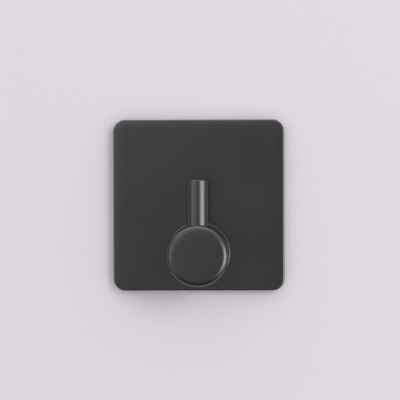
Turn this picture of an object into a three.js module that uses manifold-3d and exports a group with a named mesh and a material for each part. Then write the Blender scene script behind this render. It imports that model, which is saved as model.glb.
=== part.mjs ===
// Stick-on wall hook: a square plate, a round arm that stands out of its lower half, and an upright
// peg near the arm's front end that keeps a strap or a loop from sliding off.
//
// Millimetres. X runs to the right as seen from the front, Z runs up the wall, and the front faces -Y.
// The origin is the centre of the back, where the hook meets the wall.

import * as THREE from "three";
import { mergeVertices } from "three/addons/utils/BufferGeometryUtils.js";
import Module from "manifold-3d";

const wasm = await Module();
wasm.setup();

// Base plate
const PLATE_SIDE = 60;
const PLATE_THICKNESS = 3.2;
const PLATE_CORNER_RADIUS = 4.2;
const PLATE_FRONT_ROUND = 0.6;
const PLATE_BACK_CHAMFER = 0.3;

// Arm, a bar turned from round stock
const ARM_DIAMETER = 21.2;
const ARM_REACH = 25; // from the plate's front to the arm's front face
const ARM_FRONT_ROUND = 2.2;
const ARM_FOOT_COVE = 0.4; // hollow in which the foot spreads onto the plate
const ARM_FOOT_RIM = 0.1; // straight edge of the spread foot
const ARM_LOWER_MARGIN = 2.6; // from the plate's lower edge up to the arm

// Upright peg, screwed into the arm by its tenon
const PEG_DIAMETER = 7.2;
const PEG_RISE = 15.3; // above the arm's top line
const PEG_TIP_ROUND = 0.5;
const PEG_SETBACK = 1.5; // from the arm's front face back to the peg
const TENON_DIAMETER = 4;
const TENON_LENGTH = 8;
const TENON_CHAMFER = 0.5;
const TENON_RELIEF_WIDTH = 0.8; // groove under the shoulder, where the thread runs out
const TENON_RELIEF_DEPTH = 0.4;

// Seat and socket for the peg, milled and drilled into the arm
const SEAT_CLEARANCE = 0.2; // round the peg's foot
const SEAT_SINK = 0.15; // below the highest flat that is whole under the foot
const TENON_CLEARANCE = 0.1; // round the tenon
const TENON_RUN_OUT = 1; // below the tenon's end

// Countersunk screws that hold the arm to the plate
const SCREW_DIAMETER = 4;
const SCREW_LENGTH = 12;
const SCREW_SPACING = 11;
const SCREW_HEAD_DIAMETER = 7.6;
const SCREW_HEAD_LAND = 0.3; // straight rim of the head
const SCREW_TIP_CHAMFER = 0.6;
const SCREW_SINK = 0.15; // of the head below the plate's back
const SCREW_HEAD_CLEARANCE = 0.1;
const SCREW_HOLE_CLEARANCE = 0.2; // round the shank, in the plate
const SCREW_THREAD_CLEARANCE = 0.1; // round the shank, in the arm
const SCREW_RUN_OUT = 2; // below the screw's end

// Cross recess of the screws
const RECESS_SPAN = 4.2; // at the top of the head
const RECESS_FLOOR_SPAN = 1.8;
const RECESS_WIDTH = 0.9;
const RECESS_DEPTH = 1.5;

// Adhesive pad and its liner
const PAD_MARGIN = 3; // from the plate's edge in to the pad
const PAD_THICKNESS = 1;
const PAD_CORNER_RADIUS = 2;
const LINER_THICKNESS = 0.15;
const LINER_TAB_WIDTH = 18;
const LINER_TAB_REACH = 2.4;

const DRILL_POINT_ANGLE = THREE.MathUtils.degToRad(118);
const QUARTER = Math.PI / 2;

// Facets
const WELD_DISTANCE = 1e-4; // corners closer than this are one corner
const CORNER_STEPS = 5;
const EDGE_STEPS = 5;
const ARM_SEGMENTS = 96;
const PEG_SEGMENTS = 64;
const SCREW_SEGMENTS = 32;

// Sizes and places that follow from the ones above
const armRadius = ARM_DIAMETER / 2;
const footRadius = armRadius + ARM_FOOT_COVE;
const pegRadius = PEG_DIAMETER / 2;
const tenonRadius = TENON_DIAMETER / 2;
const screwRadius = SCREW_DIAMETER / 2;
const screwHeadRadius = SCREW_HEAD_DIAMETER / 2;
const padSide = PLATE_SIDE - 2 * PAD_MARGIN;
const armHeight = ARM_LOWER_MARGIN + armRadius - PLATE_SIDE / 2;
const seatRadius = pegRadius + SEAT_CLEARANCE;
const seatHeight = Math.sqrt(armRadius ** 2 - seatRadius ** 2) - SEAT_SINK;
const pegLength = armRadius + PEG_RISE - seatHeight;
const pegReach = ARM_REACH - PEG_SETBACK - pegRadius;
const screwPlaces = [-SCREW_SPACING / 2, SCREW_SPACING / 2];
const screwGrip = SCREW_LENGTH + SCREW_SINK - PLATE_THICKNESS; // length of screw inside the arm
const overrun = ARM_DIAMETER; // how far a cutter runs past the surface that it enters

const plateBlack = new THREE.MeshStandardMaterial({ color: 0x35343a, roughness: 0.2, metalness: 0 });
const armBlack = new THREE.MeshStandardMaterial({ color: 0x38373b, roughness: 0.22, metalness: 0.2 });
const pegBlack = armBlack.clone();
const zincSteel = new THREE.MeshStandardMaterial({ color: 0xb9bcc0, roughness: 0.35, metalness: 1 });
const padGrey = new THREE.MeshStandardMaterial({ color: 0x8d8f92, roughness: 0.9, metalness: 0 });
const linerWhite = new THREE.MeshStandardMaterial({ color: 0xe9e6dd, roughness: 0.6, metalness: 0 });

// Closed mesh to solid, for cutting
function toSolid(geometry) {
  const bare = geometry.clone();
  bare.deleteAttribute("normal");
  bare.deleteAttribute("uv");
  const merged = mergeVertices(bare, WELD_DISTANCE);
  const corners = merged.index.array;
  const triangles = [];
  for (let i = 0; i < corners.length; i += 3) {
    const [a, b, c] = corners.subarray(i, i + 3);
    if (a !== b && b !== c && c !== a) triangles.push(a, b, c);
  }
  return new wasm.Manifold(
    new wasm.Mesh({
      numProp: 3,
      vertProperties: new Float32Array(merged.attributes.position.array),
      triVerts: new Uint32Array(triangles),
    }),
  );
}

// Solid back to a mesh with flat facets
function toGeometry(solid) {
  const mesh = solid.getMesh();
  const shared = new THREE.BufferGeometry();
  shared.setAttribute("position", new THREE.BufferAttribute(mesh.vertProperties, mesh.numProp));
  shared.setIndex(new THREE.BufferAttribute(mesh.triVerts, 1));
  const geometry = shared.toNonIndexed();
  geometry.computeVertexNormals();
  return geometry;
}

function cut(geometry, ...cutters) {
  const solid = cutters.reduce((body, cutter) => body.subtract(toSolid(cutter)), toSolid(geometry));
  return toGeometry(solid);
}

// Revolved pieces: a profile is drawn with its radius along x and its length along y, from the axis
// at one end to the axis at the other
function revolve(profile, segments) {
  return new THREE.LatheGeometry(profile.getPoints(EDGE_STEPS), segments);
}

const revolveUp = (profile, segments) => revolve(profile, segments).rotateX(QUARTER);
const revolveOut = (profile, segments) => revolve(profile, segments).rotateX(2 * QUARTER);

// Flat pieces are drawn as seen from the front and grow out of the wall
const facingFront = (geometry) => geometry.rotateX(QUARTER);

function roundedSquare(side, radius) {
  const reach = side / 2 - radius;
  const shape = new THREE.Shape();
  shape.absarc(reach, reach, radius, 0, QUARTER);
  shape.absarc(-reach, reach, radius, QUARTER, 2 * QUARTER);
  shape.absarc(-reach, -reach, radius, 2 * QUARTER, 3 * QUARTER);
  shape.absarc(reach, -reach, radius, 3 * QUARTER, 4 * QUARTER);
  return shape;
}

// Closed skin through a stack of outlines that have the same number of points
function loft(layers) {
  const count = layers[0].outline.length;
  const positions = layers.flatMap(({ outline, height }) => outline.flatMap(({ x, y }) => [x, y, height]));
  const indices = [];
  for (let ring = 0; ring < layers.length - 1; ring += 1) {
    for (let i = 0; i < count; i += 1) {
      const here = ring * count + i;
      const next = ring * count + ((i + 1) % count);
      indices.push(here, next, next + count, here, next + count, here + count);
    }
  }
  const top = (layers.length - 1) * count;
  for (const [a, b, c] of THREE.ShapeUtils.triangulateShape(layers[0].outline, [])) {
    indices.push(c, b, a, top + a, top + b, top + c);
  }
  const geometry = new THREE.BufferGeometry();
  geometry.setAttribute("position", new THREE.Float32BufferAttribute(positions, 3));
  geometry.setIndex(indices);
  geometry.computeVertexNormals();
  return geometry;
}

// Square plate, chamfered behind and rounded in front
function plateBlank() {
  const layer = (inset, height) => ({
    outline: roundedSquare(PLATE_SIDE - 2 * inset, PLATE_CORNER_RADIUS - inset).getPoints(CORNER_STEPS),
    height,
  });
  const layers = [layer(PLATE_BACK_CHAMFER, 0), layer(0, PLATE_BACK_CHAMFER)];
  for (let step = 0; step <= EDGE_STEPS; step += 1) {
    const angle = (QUARTER * step) / EDGE_STEPS;
    const inset = PLATE_FRONT_ROUND * (1 - Math.cos(angle));
    layers.push(layer(inset, PLATE_THICKNESS - PLATE_FRONT_ROUND * (1 - Math.sin(angle))));
  }
  return facingFront(loft(layers));
}

// Clearance hole for a screw, with the countersink for its head. Its length starts at the head's top.
function screwHole() {
  const headRadius = screwHeadRadius + SCREW_HEAD_CLEARANCE;
  const holeRadius = screwRadius + SCREW_HOLE_CLEARANCE;
  const profile = new THREE.Path();
  profile.moveTo(0, -overrun);
  profile.lineTo(headRadius, -overrun);
  profile.lineTo(headRadius, SCREW_HEAD_LAND);
  profile.lineTo(holeRadius, SCREW_HEAD_LAND + headRadius - holeRadius);
  profile.lineTo(holeRadius, overrun);
  profile.lineTo(0, overrun);
  return revolveOut(profile, SCREW_SEGMENTS);
}

function basePlate() {
  const holes = screwPlaces.map((x) => screwHole().translate(x, -SCREW_SINK, armHeight));
  return cut(plateBlank(), ...holes);
}

// Depth of the cone that a drill leaves at the bottom of a hole
const drillPoint = (radius) => radius / Math.tan(DRILL_POINT_ANGLE / 2);

// Tapped blind hole in the arm's foot, from the foot inwards
function tappedHole() {
  const radius = screwRadius + SCREW_THREAD_CLEARANCE;
  const depth = screwGrip + SCREW_RUN_OUT;
  const profile = new THREE.Path();
  profile.moveTo(0, -overrun);
  profile.lineTo(radius, -overrun);
  profile.lineTo(radius, depth);
  profile.lineTo(0, depth + drillPoint(radius));
  return revolveOut(profile, SCREW_SEGMENTS);
}

// Flat seat for the peg's foot with the drilled socket under it, from the drill point up
function pegSocket() {
  const radius = tenonRadius + TENON_CLEARANCE;
  const depth = TENON_LENGTH + TENON_RUN_OUT;
  const profile = new THREE.Path();
  profile.moveTo(0, -depth - drillPoint(radius));
  profile.lineTo(radius, -depth);
  profile.lineTo(radius, 0);
  profile.lineTo(seatRadius, 0);
  profile.lineTo(seatRadius, overrun);
  profile.lineTo(0, overrun);
  return revolveUp(profile, PEG_SEGMENTS);
}

// Arm with its foot at zero, spreading in a cove, and the rounded front at its reach
function hookArm() {
  const profile = new THREE.Path();
  profile.moveTo(0, 0);
  profile.lineTo(footRadius, 0);
  profile.absarc(footRadius, ARM_FOOT_RIM + ARM_FOOT_COVE, ARM_FOOT_COVE, 3 * QUARTER, 2 * QUARTER, true);
  profile.absarc(armRadius - ARM_FRONT_ROUND, ARM_REACH - ARM_FRONT_ROUND, ARM_FRONT_ROUND, 0, QUARTER);
  profile.lineTo(0, ARM_REACH);
  const socket = pegSocket().translate(0, -pegReach, seatHeight);
  const holes = screwPlaces.map((x) => tappedHole().translate(x, 0, 0));
  return cut(revolveOut(profile, ARM_SEGMENTS), socket, ...holes);
}

// Peg with its shoulder at zero, the tenon below and the rounded tip above
function uprightPeg() {
  const profile = new THREE.Path();
  profile.moveTo(0, -TENON_LENGTH);
  profile.lineTo(tenonRadius - TENON_CHAMFER, -TENON_LENGTH);
  profile.lineTo(tenonRadius, TENON_CHAMFER - TENON_LENGTH);
  profile.lineTo(tenonRadius, -TENON_RELIEF_WIDTH);
  profile.lineTo(tenonRadius - TENON_RELIEF_DEPTH, -TENON_RELIEF_WIDTH);
  profile.lineTo(tenonRadius - TENON_RELIEF_DEPTH, 0);
  profile.lineTo(pegRadius, 0);
  profile.absarc(pegRadius - PEG_TIP_ROUND, pegLength - PEG_TIP_ROUND, PEG_TIP_ROUND, 0, QUARTER);
  profile.lineTo(0, pegLength);
  return revolveUp(profile, PEG_SEGMENTS);
}

// One slot of the cross recess, tapering towards its floor. It opens to the back.
function recessSlot() {
  const mouth = RECESS_SPAN / 2;
  const floor = RECESS_FLOOR_SPAN / 2;
  const slope = (mouth - floor) / RECESS_DEPTH;
  const outside = mouth + slope * RECESS_DEPTH;
  const shape = new THREE.Shape();
  shape.moveTo(-floor, -RECESS_DEPTH);
  shape.lineTo(floor, -RECESS_DEPTH);
  shape.lineTo(outside, RECESS_DEPTH);
  shape.lineTo(-outside, RECESS_DEPTH);
  shape.closePath();
  const slot = new THREE.ExtrudeGeometry(shape, { depth: RECESS_WIDTH, bevelEnabled: false });
  return slot.translate(0, 0, -RECESS_WIDTH / 2);
}

// Countersunk screw, from the head's top out to its tip
function armScrew() {
  const profile = new THREE.Path();
  profile.moveTo(0, 0);
  profile.lineTo(screwHeadRadius, 0);
  profile.lineTo(screwHeadRadius, SCREW_HEAD_LAND);
  profile.lineTo(screwRadius, SCREW_HEAD_LAND + screwHeadRadius - screwRadius);
  profile.lineTo(screwRadius, SCREW_LENGTH - SCREW_TIP_CHAMFER);
  profile.lineTo(screwRadius - SCREW_TIP_CHAMFER, SCREW_LENGTH);
  profile.lineTo(0, SCREW_LENGTH);
  return cut(revolveOut(profile, SCREW_SEGMENTS), recessSlot(), recessSlot().rotateY(QUARTER));
}

function adhesivePad() {
  const outline = roundedSquare(padSide, PAD_CORNER_RADIUS);
  const options = { depth: PAD_THICKNESS, bevelEnabled: false, curveSegments: CORNER_STEPS };
  return facingFront(new THREE.ExtrudeGeometry(outline, options));
}

// The liner has the pad's outline, and a round-ended tab on its lower edge to lift it by
function releaseLiner() {
  const half = padSide / 2;
  const corner = half - PAD_CORNER_RADIUS;
  const tabEnd = LINER_TAB_WIDTH / 2 - LINER_TAB_REACH;
  const outline = new THREE.Shape();
  outline.absarc(corner, corner, PAD_CORNER_RADIUS, 0, QUARTER);
  outline.absarc(-corner, corner, PAD_CORNER_RADIUS, QUARTER, 2 * QUARTER);
  outline.absarc(-corner, -corner, PAD_CORNER_RADIUS, 2 * QUARTER, 3 * QUARTER);
  outline.absarc(-tabEnd, -half, LINER_TAB_REACH, 2 * QUARTER, 3 * QUARTER);
  outline.absarc(tabEnd, -half, LINER_TAB_REACH, 3 * QUARTER, 4 * QUARTER);
  outline.absarc(corner, -corner, PAD_CORNER_RADIUS, 3 * QUARTER, 4 * QUARTER);
  const options = { depth: LINER_THICKNESS, bevelEnabled: false, curveSegments: CORNER_STEPS };
  return facingFront(new THREE.ExtrudeGeometry(outline, options));
}

function piece(name, geometry, material, x = 0, y = 0, z = 0) {
  const mesh = new THREE.Mesh(geometry, material);
  mesh.name = name;
  mesh.position.set(x, y, z);
  return mesh;
}

// Liner, pad and plate lie on each other, counted out from the wall
const padBack = LINER_THICKNESS;
const plateBack = padBack + PAD_THICKNESS;
const plateFront = plateBack + PLATE_THICKNESS;

const wallHook = new THREE.Group();
wallHook.add(piece("release_liner", releaseLiner(), linerWhite));
wallHook.add(piece("adhesive_pad", adhesivePad(), padGrey, 0, -padBack));
wallHook.add(piece("base_plate", basePlate(), plateBlack, 0, -plateBack));

// The arm, its peg and its screws share the arm's axis, counted from the plate's front
const armGroup = new THREE.Group();
armGroup.position.set(0, -plateFront, armHeight);
armGroup.add(piece("hook_arm", hookArm(), armBlack));
armGroup.add(piece("upright_peg", uprightPeg(), pegBlack, 0, -pegReach, seatHeight));
const screwTop = PLATE_THICKNESS - SCREW_SINK;
const [leftPlace, rightPlace] = screwPlaces;
armGroup.add(piece("arm_screw_left", armScrew(), zincSteel, leftPlace, screwTop));
armGroup.add(piece("arm_screw_right", armScrew(), zincSteel, rightPlace, screwTop));
wallHook.add(armGroup);

export default wallHook;
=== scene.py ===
# %% [markdown]
# # A stick-on wall hook in gloss black
# The hook is a square plate with a round arm on its lower half, and a slim peg that stands up
# from the arm so that a strap can't slide off. Two screws, a foam pad and a release liner sit
# behind the plate. The measured solids are loaded first and stay where they are. They give every
# size and place below, and each new piece then takes the place of its solid.

# %% Load the measured solids
import math
from contextlib import contextmanager

import bmesh
import bpy
from mathutils import Matrix, Vector


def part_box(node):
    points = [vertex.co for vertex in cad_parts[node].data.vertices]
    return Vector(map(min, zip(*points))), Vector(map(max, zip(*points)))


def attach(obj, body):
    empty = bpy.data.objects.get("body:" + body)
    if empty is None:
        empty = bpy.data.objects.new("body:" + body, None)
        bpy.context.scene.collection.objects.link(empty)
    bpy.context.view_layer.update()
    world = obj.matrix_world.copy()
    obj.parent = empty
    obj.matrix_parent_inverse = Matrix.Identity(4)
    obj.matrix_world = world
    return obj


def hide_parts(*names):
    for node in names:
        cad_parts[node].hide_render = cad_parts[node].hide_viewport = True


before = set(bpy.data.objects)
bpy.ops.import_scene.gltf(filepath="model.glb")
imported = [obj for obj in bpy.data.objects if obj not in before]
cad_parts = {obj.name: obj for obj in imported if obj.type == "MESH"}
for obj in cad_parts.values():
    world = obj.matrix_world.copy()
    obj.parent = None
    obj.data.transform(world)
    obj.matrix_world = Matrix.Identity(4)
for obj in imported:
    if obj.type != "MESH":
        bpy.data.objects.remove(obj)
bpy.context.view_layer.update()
MM = 0.001

# %% [markdown]
# ## Camera
# The hook is seen from almost straight in front, from about 70 cm, a hair above and to the right
# of its middle: a sliver of the arm's side shows behind the upper right of its round end. Looking
# at the four corners, the arm's end and the peg's tip together gives the place and the long lens.
# A long lens keeps the plate square, as a product picture should.

# %% Camera
CAMERA_PLACE = Vector((15.25, -704.35, 11.67)) * MM
PAN, TILT, ROLL = (math.radians(angle) for angle in (1.214, -0.805, -0.195))

turn = (
    Matrix.Rotation(PAN, 3, "Z")
    @ Matrix.Rotation(math.pi / 2 + TILT, 3, "X")
    @ Matrix.Rotation(ROLL, 3, "Z")
)
bpy.ops.object.camera_add(location=CAMERA_PLACE, rotation=turn.to_euler())
camera = bpy.context.object
camera.data.sensor_width = 36
camera.data.lens = 179.6
camera.data.clip_start = 0.01
bpy.context.scene.camera = camera
bpy.context.scene.view_settings.view_transform = "Standard"
print("camera looks along", [round(part, 3) for part in turn @ Vector((0, 0, -1))])

# %% [markdown]
# ## Shader maths
# A finish is a small net of nodes. Writing each link by hand hides the idea, so one class wraps
# an output socket: arithmetic on it adds Math nodes, and `node` adds any other kind. Then a
# roughness can be written as `0.2 + 0.1 * haze`, which reads like the finish that it makes.

# %% Wires between shader nodes
class Wire:
    """An output in a node tree. Arithmetic on wires and numbers adds Math nodes."""

    def __init__(self, tree, socket=None):
        self.tree = tree
        self.socket = socket

    def node(self, kind, settings=None, sockets=None, output=0):
        """Adds a node, sets it up, fills its sockets and returns one of its outputs."""
        made = self.tree.nodes.new(kind)
        for name, value in (settings or {}).items():
            setattr(made, name, value)
        for name, value in (sockets or {}).items():
            if isinstance(value, Wire):
                self.tree.links.new(value.socket, made.inputs[name])
            else:
                made.inputs[name].default_value = value
        return Wire(self.tree, made.outputs[output])

    def math(self, operation, *values):
        return self.node("ShaderNodeMath", {"operation": operation}, dict(enumerate(values)))

    def __add__(self, other):
        return self.math("ADD", self, other)

    def __radd__(self, other):
        return self.math("ADD", other, self)

    def __sub__(self, other):
        return self.math("SUBTRACT", self, other)

    def __rsub__(self, other):
        return self.math("SUBTRACT", other, self)

    def __mul__(self, other):
        return self.math("MULTIPLY", self, other)

    def __rmul__(self, other):
        return self.math("MULTIPLY", other, self)

    def dot(self, other):
        sides = {0: self, 1: other}
        return self.node("ShaderNodeVectorMath", {"operation": "DOT_PRODUCT"}, sides, "Value")

    def ramp(self, low, high):
        """0 below low, 1 above high and smooth between them."""
        limits = {"Value": self, "From Min": low, "From Max": high}
        return self.node("ShaderNodeMapRange", {"interpolation_type": "SMOOTHSTEP"}, limits)

    def blend(self, first, second):
        """A colour that goes from first to second as this wire goes from 0 to 1."""
        return self.node("ShaderNodeMix", {"data_type": "RGBA"}, {0: self, 6: first, 7: second}, 2)

    def into(self, shader, socket):
        self.tree.links.new(self.socket, shader.inputs[socket])


print("wires add", [name for name in vars(Wire) if not name.startswith("_")])

# %% [markdown]
# ## Backdrop
# The hook hangs on a plain pale wall, which also catches its soft shadow. The wall is one plane,
# turned upright. Its two ends are extruded forwards, and a bevel makes each fold a soft curve, like
# the paper sweep in a photo studio. Only its front shows, so that the hook can also be looked at
# from behind.

# %% Backdrop sheet
WALL_PLACE = 0.4 * MM
WALL_WIDTH, WALL_HEIGHT, WALL_LIP, WALL_CURVE = 3.6, 3.0, 0.3, 0.25


def activate(piece):
    """Makes one piece the active object and the only selected one."""
    bpy.ops.object.select_all(action="DESELECT")
    piece.select_set(True)
    bpy.context.view_layer.objects.active = piece


@contextmanager
def editing(piece):
    """Edit mode on one piece, with nothing selected in it at first."""
    activate(piece)
    bpy.ops.object.mode_set(mode="EDIT")
    bpy.ops.mesh.select_all(action="DESELECT")
    yield
    bpy.ops.object.mode_set(mode="OBJECT")


def pick_edges(piece, wanted):
    """Selects the edges whose two ends satisfy wanted(a, b)."""
    bpy.ops.mesh.select_mode(type="EDGE")
    bpy.ops.mesh.select_all(action="DESELECT")
    mesh = bmesh.from_edit_mesh(piece.data)
    for edge in mesh.edges:
        if wanted(*(corner.co for corner in edge.verts)):
            edge.select_set(True)
    bmesh.update_edit_mesh(piece.data)


def settle(piece, name):
    """Names a new object and puts its place, turn and scale into its mesh."""
    piece.name = piece.data.name = name
    bpy.ops.object.transform_apply(location=True, rotation=True, scale=True)
    return piece


bpy.ops.object.select_all(action="DESELECT")
bpy.ops.mesh.primitive_plane_add(size=1, location=(0, WALL_PLACE, 0), rotation=(math.pi / 2, 0, 0))
bpy.context.object.scale = (WALL_WIDTH, WALL_HEIGHT, 1)
backdrop = settle(bpy.context.object, "backdrop")
with editing(backdrop):
    for side in (-1, 1):
        pick_edges(backdrop, lambda a, b: min(side * a.x, side * b.x) > WALL_WIDTH / 2 - MM)
        bend = (side * WALL_LIP, -WALL_LIP, 0)
        bpy.ops.mesh.extrude_region_move(TRANSFORM_OT_translate={"value": bend})
        pick_edges(backdrop, lambda a, b: max(abs(a.x - side * WALL_WIDTH / 2), abs(b.x - a.x)) < MM)
        bpy.ops.mesh.bevel(offset=WALL_CURVE, segments=10, affect="EDGES")
bpy.ops.object.shade_smooth()
print("backdrop faces", len(backdrop.data.polygons))

# %% [markdown]
# ## Backdrop paint
# A pale, slightly pinkish matt paint with a fine grain. Light Path shows the sheet to the eye and
# to gloss, from its front only. Lamps behind it reach the hook's back as if it weren't there.

# %% Backdrop paint
RAY_KINDS = ("Camera", "Glossy", "Transmission")
WALL_COLOUR = (0.70, 0.662, 0.70, 1)
WALL_COLOUR_DEEP = (0.68, 0.643, 0.68, 1)

paint = bpy.data.materials.new("backdrop_paint")
paint.use_nodes = True
matt = paint.node_tree.nodes["Principled BSDF"]
matt.inputs["Roughness"].default_value = 0.9
matt.inputs["Specular IOR Level"].default_value = 0.1
sheet = Wire(paint.node_tree)
grain = sheet.node(
    "ShaderNodeTexNoise",
    None,
    {"Vector": sheet.node("ShaderNodeTexCoord", output="Object"), "Scale": 900, "Detail": 2},
)
grain.blend(WALL_COLOUR_DEEP, WALL_COLOUR).into(matt, "Base Color")
rays = {kind: sheet.node("ShaderNodeLightPath", output=f"Is {kind} Ray") for kind in RAY_KINDS}
behind = sheet.node("ShaderNodeNewGeometry", output="Backfacing")
shown = (rays["Camera"] + rays["Glossy"] + rays["Transmission"]) * (1 - behind)
clear = sheet.node("ShaderNodeBsdfTransparent")
sheet.node(
    "ShaderNodeMixShader", None, {0: shown, 1: clear, 2: Wire(paint.node_tree, matt.outputs[0])}
).into(paint.node_tree.nodes["Material Output"], "Surface")
backdrop.data.materials.append(paint)
print("backdrop paint has", len(paint.node_tree.nodes), "nodes")

# %% [markdown]
# ## Lamps
# Most light comes from the pale room. One lamp at the upper right adds to it, so that the plate
# throws a narrow shadow to the left and downwards, and a second one models the back for views from
# behind. `towards` gives a direction from an angle away from the viewing axis and a turn round the
# clock, counted from the right.

# %% Lamps
OUTWARD, UPWARD, DOWNWARD = Vector((0, -1, 0)), Vector((0, 0, 1)), Vector((0, 0, -1))
LAMP_TARGET = Vector((0, -20, -10)) * MM


def towards(off_axis, clock):
    """A direction out of the wall, from two angles in degrees."""
    away, around = math.radians(off_axis), math.radians(clock)
    spread = math.sin(away)
    return Vector((spread * math.cos(around), -math.cos(away), spread * math.sin(around)))


def softbox(name, place, facing, width, height, brightness):
    """A rectangular lamp that a mirror would show at the given brightness."""
    turned = facing.to_track_quat("-Z", "Y").to_euler()
    bpy.ops.object.light_add(type="AREA", location=place, rotation=turned)
    lamp = bpy.context.object
    lamp.name = name
    lamp.data.shape = "RECTANGLE"
    lamp.data.size, lamp.data.size_y = width, height
    lamp.data.energy = math.pi * width * height * brightness
    lamp.visible_camera = False
    return lamp


fill_way, rear_way = towards(32, 33), towards(155, 60)
fill = softbox("fill_lamp", LAMP_TARGET + fill_way, -fill_way, 0.26, 0.26, 9)
fill.visible_glossy = False
rear = softbox("rear_lamp", LAMP_TARGET + rear_way * 1.2, -rear_way, 1.6, 1.6, 0.5)
print("lamps, W:", {lamp.name: round(lamp.data.energy, 2) for lamp in (fill, rear)})

# %% [markdown]
# ## Surroundings
# The room is plain and pale, with a floor in shade far below. It lights matt surfaces from ahead
# more than from the side, and more from the upper right than from the lower left. Gloss black shows
# the room more than its own colour, so for gloss the pale room also holds broad glows with soft
# edges: a window on the right, a weaker one on the left, a ceiling and so on. Each glow fades as a
# power of the cosine of the angle from its middle, so a higher power is a smaller glow.

# %% Room
ROOM_COLOUR = (0.76, 0.735, 0.76)
BRIGHT_SIDE, SKEW = towards(90, 40), 0.42
SIDE_LEVEL, AHEAD_LEVEL = 0.45, 1.68
FLOOR_LEVEL, FLOOR_START, FLOOR_END = 0.4, -0.5, -0.92
GLOWS = {
    "window": (towards(51, -7), 14, (11, 10.8, 10.9)),
    "window_side": (towards(92, -10), 10, (4.4, 4.3, 4.4)),
    "upper_right": (towards(92, 45), 3, (1.2, 1.2, 1.2)),
    "left_window": (towards(47, 183), 12, (2.1, 2.05, 2.1)),
    "left_side": (towards(92, 132), 4, (2.1, 2.1, 2.13)),
    "upper_left": (towards(20, 132), 40, (2.6, 2.5, 2.65)),
    "ceiling": (towards(80, 92), 3, (2.5, 2.7, 2.7)),
    "low_ahead": (towards(15, 250), 120, (0.6, 0.57, 0.62)),
}

room = bpy.data.worlds.new("room")
room.use_nodes = True
bpy.context.scene.world = room
air = Wire(room.node_tree)
way = air.node("ShaderNodeTexCoord", output="Generated")
shade = FLOOR_LEVEL + (1 - FLOOR_LEVEL) * way.dot(UPWARD).ramp(FLOOR_END, FLOOR_START)
pale = shade.node("ShaderNodeVectorMath", {"operation": "SCALE"}, {0: ROOM_COLOUR, "Scale": shade})
gloss = pale
for middle, power, colour in GLOWS.values():
    fade = way.dot(middle)
    fade = fade.math("POWER", fade.math("MAXIMUM", fade, 0), power)
    parts = {0: colour, 1: fade, 2: gloss}
    gloss = fade.node("ShaderNodeVectorMath", {"operation": "MULTIPLY_ADD"}, parts)
seen = {kind: air.node("ShaderNodeLightPath", output=f"Is {kind} Ray") for kind in RAY_KINDS}
ahead = way.math("ABSOLUTE", way.dot(OUTWARD))
lighting = SIDE_LEVEL + (AHEAD_LEVEL - SIDE_LEVEL) * ahead + SKEW * way.dot(BRIGHT_SIDE)
eye = seen["Camera"] + seen["Transmission"]
strength = eye + (1 - eye) * lighting
plain = air.node("ShaderNodeBackground", None, {"Color": pale, "Strength": strength})
glowing = air.node("ShaderNodeBackground", None, {"Color": gloss})
light = air.node("ShaderNodeMixShader", None, {0: seen["Glossy"], 1: plain, 2: glowing})
light.into(room.node_tree.nodes["World Output"], "Surface")
print("room has", len(room.node_tree.nodes), "nodes")

# %% [markdown]
# ## Base plate
# The plate is a moulded square with round corners. Its front edge is rounded and its back edge is
# just broken. A cube at the plate's size gets its four upright edges bevelled first, and then the
# rims, so that each round runs on through the corners. A moulded face also falls away a little
# towards its rim, which gloss gives away as a paler border. So the cube starts a hair thinner, and
# four insets raise the face step by step, each one less steep than the last.

# %% Base plate blank
PLATE_CORNER, PLATE_FRONT_ROUND, PLATE_BACK_BREAK = 4.2 * MM, 0.6 * MM, 0.3 * MM
SHOULDER_STEP = 0.7 * MM
NEAR = 1e-6


def pick_faces(piece, wanted):
    """Selects the faces whose centre and normal satisfy wanted(centre, normal)."""
    bpy.ops.mesh.select_mode(type="FACE")
    bpy.ops.mesh.select_all(action="DESELECT")
    mesh = bmesh.from_edit_mesh(piece.data)
    mesh.normal_update()
    for face in mesh.faces:
        if wanted(face.calc_center_median(), face.normal):
            face.select_set(True)
    bmesh.update_edit_mesh(piece.data)


def block(name, low, high):
    """A cube that fills a box."""
    bpy.ops.object.select_all(action="DESELECT")
    bpy.ops.mesh.primitive_cube_add(size=1, location=(low + high) / 2)
    bpy.context.object.scale = high - low
    return settle(bpy.context.object, name)


def shoulder_rises(*slopes):
    """How far each step of a shoulder rises, from its slopes in degrees."""
    return [SHOULDER_STEP * math.tan(math.radians(slope)) for slope in slopes]


def raise_shoulder(rises):
    """Raises the picked front face step by step and leaves it flat within."""
    for rise in rises:
        bpy.ops.mesh.inset(thickness=SHOULDER_STEP)
        bpy.ops.transform.translate(value=OUTWARD * rise)
    bpy.ops.mesh.inset(thickness=SHOULDER_STEP / 2)


plate_low, plate_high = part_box("base_plate")
plate_rises = shoulder_rises(4, 2.2, 1.1, 0.5)
rim_front = plate_low.y + sum(plate_rises)
plate = block("plate", Vector((plate_low.x, rim_front, plate_low.z)), plate_high)
with editing(plate):
    pick_edges(plate, lambda a, b: abs(a.y - b.y) > NEAR)
    bpy.ops.mesh.bevel(offset=PLATE_CORNER, segments=24, affect="EDGES")
    pick_edges(plate, lambda a, b: max(a.y, b.y) < rim_front + NEAR)
    bpy.ops.mesh.bevel(offset=PLATE_FRONT_ROUND, segments=12, affect="EDGES")
    pick_edges(plate, lambda a, b: min(a.y, b.y) > plate_high.y - NEAR)
    bpy.ops.mesh.bevel(offset=PLATE_BACK_BREAK, segments=2, affect="EDGES")
    pick_faces(plate, lambda centre, normal: centre.y < rim_front + NEAR)
    raise_shoulder(plate_rises)
print("plate faces", len(plate.data.polygons))

# %% [markdown]
# ## Screw holes
# Two countersunk holes let the arm be screwed on from behind. A cutter is turned for them like a
# piece on a lathe: a short cylinder whose end is carried on step by step, each step to a new
# radius. A Boolean modifier then takes it out of the plate.

# %% Screw holes in the plate
HOLE_RADIUS, HEAD_HOLE_RADIUS, HEAD_LAND = 2.2 * MM, 3.9 * MM, 0.3 * MM


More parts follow.
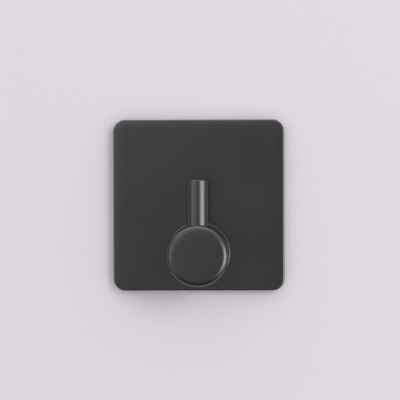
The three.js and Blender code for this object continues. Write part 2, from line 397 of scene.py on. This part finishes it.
def bar(name, start, along, length, radius, segments):
    """A cylinder that runs from a point along a direction."""
    bpy.ops.object.select_all(action="DESELECT")
    bpy.ops.mesh.primitive_cylinder_add(
        vertices=segments,
        radius=radius,
        depth=length,
        location=start + along * length / 2,
        rotation=along.to_track_quat("Z", "Y").to_euler(),
    )
    return settle(bpy.context.object, name)


def turn_on(piece, end, along, radius, steps):
    """Carries a bar's end on as on a lathe. Each step is a length and the radius it ends at."""
    across = Vector((1, 1, 1)) - Vector([abs(part) for part in along])
    pick_faces(piece, lambda centre, normal: (centre - end).length < NEAR and normal.dot(along) > 0.9)
    for length, next_radius in steps:
        bpy.ops.mesh.extrude_region_move(TRANSFORM_OT_translate={"value": along * length})
        end = end + along * length
        scale = Vector((1, 1, 1)) + across * (next_radius / radius - 1)
        bpy.ops.transform.resize(value=scale, center_override=end)
        radius = next_radius


def combine(piece, other, operation):
    """Joins another solid to a piece or takes it out of it, and removes the other."""
    activate(piece)
    bpy.ops.object.modifier_add(type="BOOLEAN")
    boolean = piece.modifiers[-1]
    boolean.operation, boolean.solver, boolean.object = operation, "EXACT", other
    bpy.ops.object.modifier_apply(modifier=boolean.name)
    bpy.data.objects.remove(other)


screw_boxes = {side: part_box(f"arm_screw_{side}") for side in ("left", "right")}
for low, high in screw_boxes.values():
    middle = (low + high) / 2
    head_top = Vector((middle.x, high.y, middle.z))
    mouth = head_top - OUTWARD * 2 * MM
    hole = bar("hole", mouth, OUTWARD, 2 * MM + HEAD_LAND, HEAD_HOLE_RADIUS, 64)
    with editing(hole):
        cone = HEAD_HOLE_RADIUS - HOLE_RADIUS
        turn_on(
            hole,
            head_top + OUTWARD * HEAD_LAND,
            OUTWARD,
            HEAD_HOLE_RADIUS,
            [(cone, HOLE_RADIUS), (6 * MM, HOLE_RADIUS)],
        )
    combine(plate, hole, "DIFFERENCE")
print("plate faces with its holes", len(plate.data.polygons))

# %% [markdown]
# ## Arm
# The arm is turned from round bar. Its front edge has a generous round, which catches the light
# as a ring, and its foot spreads onto the plate in a small cove, which shows as a thin line. A
# cylinder gets its front rim bevelled, and its other end is carried on along a quarter circle. The
# peg's seat, the socket under it and the two tapped holes are cut afterwards.

# %% Arm
ARM_FRONT_ROUND, FOOT_COVE, FOOT_RIM, COVE_STEPS = 2.2 * MM, 0.4 * MM, 0.1 * MM, 10
SEAT_GAP, SOCKET_GAP, SOCKET_SPARE = 0.2 * MM, 0.1 * MM, 1 * MM
TENON_RADIUS, TENON_LENGTH, SOCKET_SIDES = 2 * MM, 8 * MM, 64
DRILL_POINT = 0.6

arm_low, arm_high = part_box("hook_arm")
peg_low, peg_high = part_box("upright_peg")
foot_radius, peg_radius = (arm_high.x - arm_low.x) / 2, (peg_high.x - peg_low.x) / 2
arm_radius = foot_radius - FOOT_COVE
arm_foot = Vector((0, arm_high.y, (arm_low.z + arm_high.z) / 2))
cove_start = arm_foot + OUTWARD * (FOOT_COVE + FOOT_RIM)
arm_rises = shoulder_rises(3, 1.6, 0.7)
arm_rim = arm_low.y + sum(arm_rises)
arm = bar("arm", cove_start, OUTWARD, cove_start.y - arm_rim, arm_radius, 192)
turns = [math.pi / 2 * step / COVE_STEPS for step in range(COVE_STEPS + 1)]
cove = [
    (FOOT_COVE * (math.sin(b) - math.sin(a)), arm_radius + FOOT_COVE * (1 - math.cos(b)))
    for a, b in zip(turns, turns[1:])
]
with editing(arm):
    turn_on(arm, cove_start, -OUTWARD, arm_radius, cove + [(FOOT_RIM, foot_radius)])
    pick_edges(arm, lambda a, b: max(a.y, b.y) < arm_rim + NEAR)
    bpy.ops.mesh.bevel(offset=ARM_FRONT_ROUND, segments=24, affect="EDGES")
    pick_faces(arm, lambda centre, normal: centre.y < arm_rim + NEAR)
    raise_shoulder(arm_rises)

seat = Vector((0, (peg_low.y + peg_high.y) / 2, peg_low.z + TENON_LENGTH))
socket_radius, seat_radius = TENON_RADIUS + SOCKET_GAP, peg_radius + SEAT_GAP
socket = bar("socket", seat, DOWNWARD, TENON_LENGTH + SOCKET_SPARE, socket_radius, SOCKET_SIDES)
with editing(socket):
    # Half a side of turn keeps the socket's corners off the corners along the arm's top line.
    bpy.ops.mesh.select_all(action="SELECT")
    bpy.ops.transform.rotate(value=math.pi / SOCKET_SIDES, orient_axis="Z", center_override=seat)
    turn_on(
        socket,
        seat + DOWNWARD * (TENON_LENGTH + SOCKET_SPARE),
        DOWNWARD,
        socket_radius,
        [(DRILL_POINT * socket_radius, 0.02 * MM)],
    )
    turn_on(socket, seat, UPWARD, socket_radius, [(0, seat_radius), (12 * MM, seat_radius)])
combine(arm, socket, "DIFFERENCE")
print("arm faces", len(arm.data.polygons))

# %% [markdown]
# ## Tapped holes
# The screws bite into two blind holes in the arm's foot, each ending in the cone that a drill
# leaves. They are turned and cut like the socket.

# %% Tapped holes in the arm
TAPPED_RADIUS, TAPPED_SPARE = 2.1 * MM, 2 * MM

for low, high in screw_boxes.values():
    middle = (low + high) / 2
    mouth = Vector((middle.x, arm_high.y + 1 * MM, middle.z))
    depth = mouth.y - low.y + TAPPED_SPARE
    hole = bar("hole", mouth, OUTWARD, depth, TAPPED_RADIUS, 64)
    with editing(hole):
        turn_on(
            hole,
            mouth + OUTWARD * depth,
            OUTWARD,
            TAPPED_RADIUS,
            [(DRILL_POINT * TAPPED_RADIUS, 0.02 * MM)],
        )
    combine(arm, hole, "DIFFERENCE")
print("arm faces with its holes", len(arm.data.polygons))

# %% [markdown]
# ## Peg
# The peg is a turned pin with a rounded tip. Its foot stands on the seat as a shoulder, and a
# threaded tenon below pulls it down. The shank is a cylinder, and the tenon is drawn out of its
# lower end: in to the relief groove, out to the thread's core and in again at the chamfer.

# %% Peg
PEG_TIP_ROUND = 0.5 * MM
RELIEF_WIDTH, RELIEF_RADIUS, TENON_CHAMFER = 0.8 * MM, 1.5 * MM, 0.5 * MM
THREAD_CORE = 1.62 * MM

tenon_thread = TENON_LENGTH - RELIEF_WIDTH - TENON_CHAMFER

peg = bar("peg", seat, UPWARD, peg_high.z - seat.z, peg_radius, 128)
with editing(peg):
    turn_on(
        peg,
        seat,
        DOWNWARD,
        peg_radius,
        [
            (0, RELIEF_RADIUS),
            (RELIEF_WIDTH, RELIEF_RADIUS),
            (0, THREAD_CORE),
            (tenon_thread, THREAD_CORE),
            (TENON_CHAMFER, THREAD_CORE - TENON_CHAMFER),
        ],
    )
    pick_edges(peg, lambda a, b: min(a.z, b.z) > peg_high.z - NEAR)
    bpy.ops.mesh.bevel(offset=PEG_TIP_ROUND, segments=12, affect="EDGES")
    pick_faces(peg, lambda centre, normal: centre.z > peg_high.z - NEAR)
    bpy.ops.mesh.inset(thickness=PEG_TIP_ROUND / 3)
print("peg faces", len(peg.data.polygons))

# %% [markdown]
# ## Thread on the peg
# A thread is a ridge that climbs round a core. A triangle stands beside the axis with one corner
# outwards, and the Screw modifier carries it round and along, by one pitch each turn. Its two ends
# are closed, and a Boolean joins the ridge to the core. A Boolean works best where no corner lies
# on another, so the ridge starts a little turned, and its steps share no factor with the core's.

# %% Thread on the peg
PITCH, RIDGE_SHARE, RIDGE_ROOT = 0.7 * MM, 0.86, 0.08 * MM
RIDGE_TURN, TURN_STEPS = 0.0173, 29


def wind_thread(piece, start, along, length, core, crest):
    """Winds a ridge round a core, over as many whole turns as the length has room for."""
    reach = (crest - core + RIDGE_ROOT) / 1.5
    bpy.ops.object.select_all(action="DESELECT")
    upright = (math.pi / 2, math.pi / 2, 0)
    bpy.ops.mesh.primitive_circle_add(vertices=3, radius=reach, rotation=upright)
    ridge = settle(bpy.context.object, "ridge")
    with editing(ridge):
        bpy.ops.mesh.select_all(action="SELECT")
        widen = PITCH * RIDGE_SHARE / (math.sqrt(3) * reach)
        bpy.ops.transform.resize(value=(1, 1, widen), center_override=(0, 0, 0))
        bpy.ops.transform.translate(value=(crest - reach, 0, PITCH / 2))
        bpy.ops.transform.rotate(value=RIDGE_TURN, orient_axis="Z", center_override=(0, 0, 0))
    activate(ridge)
    bpy.ops.object.modifier_add(type="SCREW")
    winding = ridge.modifiers[-1]
    winding.axis, winding.screw_offset = "Z", PITCH
    winding.iterations = int(length / PITCH) - 1
    winding.steps = winding.render_steps = TURN_STEPS
    bpy.ops.object.modifier_apply(modifier=winding.name)
    with editing(ridge):
        bpy.ops.mesh.select_all(action="SELECT")
        bpy.ops.mesh.fill_holes(sides=3)
        bpy.ops.mesh.normals_make_consistent(inside=False)
    ridge.location = start
    ridge.rotation_euler = along.to_track_quat("Z", "Y").to_euler()
    settle(ridge, "ridge")
    combine(piece, ridge, "UNION")


wind_thread(peg, seat + DOWNWARD * RELIEF_WIDTH, DOWNWARD, tenon_thread, THREAD_CORE, TENON_RADIUS)
print("peg faces with its thread", len(peg.data.polygons))

# %% [markdown]
# ## Screws
# Two countersunk steel screws with a cross recess hold the arm. The head starts as a thin disc,
# and the cone, a short neck, the core and the tip are drawn out of it. The recess is cut by two
# tapered blades that cross and stand out of the head, so that nothing of them lies in the head's
# own plane. The same ridge as on the peg is then wound round the core.

# %% Left screw
HEAD_RADIUS, SHANK_RADIUS, NECK_LENGTH, TIP_CHAMFER = 3.8 * MM, 2 * MM, 0.5 * MM, 0.6 * MM
RECESS_SPAN, RECESS_FLOOR, RECESS_WIDTH, RECESS_DEPTH = 4.2 * MM, 1.8 * MM, 0.9 * MM, 1.5 * MM
BLADE_RISE = 1 * MM

low, high = screw_boxes["left"]
screw_axis = Vector(((low.x + high.x) / 2, high.y, (low.z + high.z) / 2))
screw_length = high.y - low.y
left_screw = bar("left_screw", screw_axis, OUTWARD, HEAD_LAND, HEAD_RADIUS, 48)
head_cone = HEAD_RADIUS - SHANK_RADIUS
head_length = HEAD_LAND + head_cone + NECK_LENGTH
screw_thread = screw_length - head_length - TIP_CHAMFER
with editing(left_screw):
    turn_on(
        left_screw,
        screw_axis + OUTWARD * HEAD_LAND,
        OUTWARD,
        HEAD_RADIUS,
        [
            (head_cone, SHANK_RADIUS),
            (NECK_LENGTH, SHANK_RADIUS),
            (0, THREAD_CORE),
            (screw_thread, THREAD_CORE),
            (TIP_CHAMFER, THREAD_CORE - TIP_CHAMFER),
        ],
    )
blade_span = RECESS_SPAN + (RECESS_SPAN - RECESS_FLOOR) * BLADE_RISE / RECESS_DEPTH
blade_half = Vector((blade_span, 0, RECESS_WIDTH)) / 2
blade_shrink = Vector((RECESS_FLOOR / blade_span, 1, 1))
blade_floor, blade_top = OUTWARD * RECESS_DEPTH, -OUTWARD * BLADE_RISE
for turned in (False, True):
    half, shrink = blade_half.copy(), blade_shrink.copy()
    if turned:
        half.x, half.z = half.z, half.x
        shrink.x, shrink.z = shrink.z, shrink.x
    blade = block("blade", screw_axis + blade_floor - half, screw_axis + blade_top + half)
    with editing(blade):
        pick_faces(blade, lambda centre, normal: normal.dot(OUTWARD) > 0.9)
        bpy.ops.transform.resize(value=shrink, center_override=screw_axis + blade_floor)
    combine(left_screw, blade, "DIFFERENCE")
thread_start = screw_axis + OUTWARD * head_length
wind_thread(left_screw, thread_start, OUTWARD, screw_thread, THREAD_CORE, SHANK_RADIUS)
print("screw faces", len(left_screw.data.polygons))

# %% [markdown]
# ## Second screw
# Both screws come out of the same box, so the right one is the left one again. It is copied with a
# mesh of its own and moved by the distance between the two measured places.

# %% Right screw
right_low, right_high = screw_boxes["right"]
activate(left_screw)
bpy.ops.object.duplicate(linked=False)
right_screw = bpy.context.object
right_screw.location = right_low - low
settle(right_screw, "right_screw")
print("screws stand", round((right_low - low).x / MM, 2), "mm apart")

# %% [markdown]
# ## Foam pad
# The pad is a die-cut square of foam tape. It sticks to the wall and covers the screws. A block
# gets its corners bevelled, and then a small bevel breaks all rims, because soft foam never keeps
# the sharp edge that the knife gave it.

# %% Foam pad
PAD_CORNER, PAD_EDGE = 2 * MM, 0.12 * MM

pad_low, pad_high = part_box("adhesive_pad")
pad = block("foam_pad", pad_low, pad_high)
with editing(pad):
    pick_edges(pad, lambda a, b: abs(a.y - b.y) > NEAR)
    bpy.ops.mesh.bevel(offset=PAD_CORNER, segments=12, affect="EDGES")
    pick_edges(pad, lambda a, b: abs(a.y - b.y) < NEAR)
    bpy.ops.mesh.bevel(offset=PAD_EDGE, segments=3, affect="EDGES")
print("pad faces", len(pad.data.polygons))

# %% [markdown]
# ## Release liner
# The liner keeps the sticky side clean until the hook is put up. It is thin siliconised paper with
# a round-ended tab to lift it by. Two bisecting cuts mark the tab's width on the lower edge of a
# flat block, and the face between them is pulled out and rounded.

# %% Release liner
TAB_WIDTH, TAB_REACH = 18 * MM, 2.4 * MM

liner_low, liner_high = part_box("release_liner")
sheet_low = Vector((liner_low.x, liner_low.y, liner_low.z + TAB_REACH))
liner = block("liner", sheet_low, liner_high)
with editing(liner):
    pick_edges(liner, lambda a, b: abs(a.y - b.y) > NEAR)
    bpy.ops.mesh.bevel(offset=PAD_CORNER, segments=12, affect="EDGES")
    for side in (-1, 1):
        bpy.ops.mesh.select_all(action="SELECT")
        bpy.ops.mesh.bisect(plane_co=(side * TAB_WIDTH / 2, 0, 0), plane_no=(1, 0, 0))
    pick_faces(liner, lambda centre, normal: normal.z < -0.9 and abs(centre.x) < TAB_WIDTH / 4)
    bpy.ops.mesh.extrude_region_move(TRANSFORM_OT_translate={"value": DOWNWARD * TAB_REACH})
    pick_edges(liner, lambda a, b: abs(a.y - b.y) > NEAR and max(a.z, b.z) < liner_low.z + NEAR)
    bpy.ops.mesh.bevel(offset=TAB_REACH * 0.98, segments=12, affect="EDGES")
print("liner faces", len(liner.data.polygons))

# %% [markdown]
# ## Gloss black plastic
# The plate is moulded in black plastic. Its face is polished, and its sides and back keep the
# mould's satin, so the shine fades with the depth behind the face. Polished moulding still has a
# faint orange peel, and handling leaves a patchy haze with a few fine hairlines and specks of
# dust. All of it is small, so it goes into roughness and a very low bump, and hardly into colour.

# %% Gloss black plastic
def new_finish(name, constants):
    """A material with its fixed values set. Returns it, its shader and the place on the piece."""
    material = bpy.data.materials.new(name)
    material.use_nodes = True
    surface = material.node_tree.nodes["Principled BSDF"]
    for socket, value in constants.items():
        surface.inputs[socket].default_value = value
    return material, surface, Wire(material.node_tree).node("ShaderNodeTexCoord", output="Object")


def noise(place, scale, detail, roughness=0.5):
    """Soft noise between 0 and 1, with so many patches to a metre."""
    return place.node(
        "ShaderNodeTexNoise",
        None,
        {"Vector": place, "Scale": scale, "Detail": detail, "Roughness": roughness},
    )


def stretched(place, turn, scale):
    """The place, turned and stretched, for marks that run one way."""
    return place.node("ShaderNodeMapping", None, {"Vector": place, "Rotation": turn, "Scale": scale})


def hairlines(place, turn, spacing):
    """Fine, broken, nearly straight lines."""
    run = stretched(place, turn, (1 / spacing, 60, 60))
    patch = noise(place, 55, 1).ramp(0.5, 0.66)
    return noise(run, 1, 1).ramp(0.66, 0.72) * patch


def specks(place, cell, size):
    """Sparse round specks of dust, one to a cell at most."""
    dots = place.node("ShaderNodeTexVoronoi", None, {"Vector": place, "Scale": 1 / cell})
    sparse = noise(place, 0.35 / cell, 0).ramp(0.56, 0.6)
    return (1 - dots.ramp(size * 0.6, size)) * sparse


def bumped(height, distance):
    """A normal for relief of the given height in metres."""
    return height.node("ShaderNodeBump", None, {"Height": height, "Distance": distance, "Strength": 1})


POLISH_START, POLISH_END = 0.8 * MM, 0.45 * MM

gloss_plastic, surface, place = new_finish("gloss_black_plastic", {"IOR": 1.45})
behind_face = plate_low.dot(OUTWARD) - place.dot(OUTWARD)
polish = 1 - behind_face.ramp(POLISH_END, POLISH_START)
haze = noise(place, 75, 5, 0.6).ramp(0.35, 0.75)
peel = noise(place, 360, 2)
lines = hairlines(place, (0, 0.5, 0), 0.12 * MM) + hairlines(place, (0, -1.1, 0), 0.16 * MM)
dust = specks(place, 1.6 * MM, 0.09)
tint = (0.3 * haze + dust).blend((0.0062, 0.006, 0.0068, 1), (0.012, 0.0115, 0.0125, 1))
tint.into(surface, "Base Color")
(0.5 - 0.36 * polish + 0.06 * haze + 0.1 * lines + 0.3 * dust).into(surface, "Roughness")
bumped(peel + 0.15 * lines + 0.5 * dust, 1.6e-6).into(surface, "Normal")
print(gloss_plastic.name, "has", len(gloss_plastic.node_tree.nodes), "nodes")

# %% [markdown]
# ## Gloss black lacquer
# The arm and the peg are turned metal under black lacquer. The cutting tool leaves fine rings,
# and the lacquer softens them without hiding them quite. The rings follow each piece's own axis:
# distance from the axis plus height along it draws circles on an end and hoops round a side.

# %% Gloss black lacquer
def lacquer(name, centre, along):
    """Black lacquer over a piece that was turned about an axis."""
    material, surface, place = new_finish(name, {"IOR": 1.45})
    offset = place.node("ShaderNodeVectorMath", {"operation": "SUBTRACT"}, {0: place, 1: centre})
    height = offset.dot(along)
    across = Vector((1, 1, 1)) - Vector([abs(part) for part in along])
    flat = place.node("ShaderNodeVectorMath", {"operation": "MULTIPLY"}, {0: offset, 1: across})
    radius = place.node("ShaderNodeVectorMath", {"operation": "LENGTH"}, {0: flat}, "Value")
    path = radius + height + 0.00004 * noise(place, 300, 1)
    rings = path.math("SINE", path * (2 * math.pi / (0.22 * MM)))
    haze = noise(place, 90, 4, 0.6).ramp(0.35, 0.75)
    peel = noise(place, 420, 2)
    lines = hairlines(place, (0.3, 0.9, 0.2), 0.14 * MM)
    dust = specks(place, 1.8 * MM, 0.08)
    tint = (0.3 * haze + dust).blend((0.0078, 0.0075, 0.0084, 1), (0.0135, 0.013, 0.014, 1))
    tint.into(surface, "Base Color")
    (0.17 + 0.05 * haze + 0.012 * rings + 0.08 * lines + 0.25 * dust).into(surface, "Roughness")
    bumped(peel + 0.03 * rings + 0.15 * lines + 0.4 * dust, 1.4e-6).into(surface, "Normal")
    print(name, "has", len(material.node_tree.nodes), "nodes")
    return material


arm_lacquer = lacquer("arm_lacquer", arm_foot, OUTWARD)
peg_lacquer = lacquer("peg_lacquer", seat, UPWARD)

# %% [markdown]
# ## Zinc plating
# The screws are steel under a thin layer of zinc: a soft grey metal with a faint cloudy bloom and
# scuffs from the box they came in. The bloom changes colour and roughness together, so that the
# paler clouds are also the duller ones.

# %% Zinc plating
zinc, surface, place = new_finish("zinc_plating", {"Metallic": 1.0, "IOR": 1.5})
bloom = noise(place, 900, 4, 0.65).ramp(0.3, 0.75)
scuffs = hairlines(place, (0.2, 0.4, 1.2), 0.1 * MM)
tint = (bloom + 0.3 * scuffs).blend((0.50, 0.51, 0.53, 1), (0.64, 0.65, 0.66, 1))
tint.into(surface, "Base Color")
(0.26 + 0.16 * bloom + 0.1 * scuffs).into(surface, "Roughness")
bumped(noise(place, 2500, 2) + 0.5 * scuffs, 1.5e-6).into(surface, "Normal")
print(zinc.name, "has", len(zinc.node_tree.nodes), "nodes")

# %% [markdown]
# ## Foam
# Foam tape is a matt grey sponge with fine open cells. A cell pattern paints shade into the hollows
# as darker colour, and the same pattern drives the bump, so that the painted shade and relief agree.

# %% Foam
foam, surface, place = new_finish("pad_foam", {"IOR": 1.45, "Specular IOR Level": 0.25})
cells = place.node("ShaderNodeTexVoronoi", None, {"Vector": place, "Scale": 4500, "Detail": 1})
shade = noise(place, 300, 3)
painted_hollow_shade = cells.ramp(0.1, 0.7)
# Painted shade: the base colour is darker in the cells' hollows, where shade would fall.
tint = (0.8 * painted_hollow_shade + 0.2 * shade).blend((0.10, 0.10, 0.105, 1), (0.27, 0.275, 0.28, 1))
tint.into(surface, "Base Color")
(0.82 + 0.15 * painted_hollow_shade).into(surface, "Roughness")
bumped(cells, 5e-5).into(surface, "Normal")
print(foam.name, "has", len(foam.node_tree.nodes), "nodes")

# %% [markdown]
# ## Liner paper
# The paper is off-white with a thin silicone sheen, which is a weak coat over a duller sheet. Its
# fibres run one way, so their noise is stretched, and slight waves show that it lies on soft foam.

# %% Liner paper
paper, surface, place = new_finish(
    "liner_paper", {"IOR": 1.45, "Coat Weight": 0.15, "Coat Roughness": 0.35}
)
fibres = noise(stretched(place, (0, 0.2, 0), (700, 700, 2600)), 1, 4, 0.6)
waves = noise(place, 70, 2, 0.4)
mottle = noise(place, 240, 4, 0.6).ramp(0.3, 0.7)
tint = (0.6 * mottle + 0.4 * fibres).blend((0.72, 0.70, 0.622, 1), (0.785, 0.77, 0.695, 1))
tint.into(surface, "Base Color")
(0.38 + 0.12 * mottle + 0.08 * fibres).into(surface, "Roughness")
bumped(waves + 0.02 * fibres, 1.8e-4).into(surface, "Normal")
print(paper.name, "has", len(paper.node_tree.nodes), "nodes")

# %% [markdown]
# ## Putting it together
# Each piece is smoothed up to its creases, gets its finish, rides with the hook's one body and
# stands for its solid.

# %% Assembly
CREASE = math.radians(25)

outfit = [
    (plate, gloss_plastic, "base_plate", "plate_black"),
    (arm, arm_lacquer, "hook_arm", "arm_black"),
    (peg, peg_lacquer, "upright_peg", "arm_black"),
    (left_screw, zinc, "arm_screw_left", "screw_zinc"),
    (right_screw, zinc, "arm_screw_right", "screw_zinc"),
    (pad, foam, "adhesive_pad", "pad_foam"),
    (liner, paper, "release_liner", "liner_film"),
]
for piece, finish, solid, record_slot in outfit:
    activate(piece)
    bpy.ops.object.shade_smooth_by_angle(angle=CREASE)
    piece.data.materials.clear()
    piece.data.materials.append(finish)
    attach(piece, "root")
    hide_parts(solid)
    print(piece.name, "stands for", solid, "with", len(piece.data.polygons), "faces")
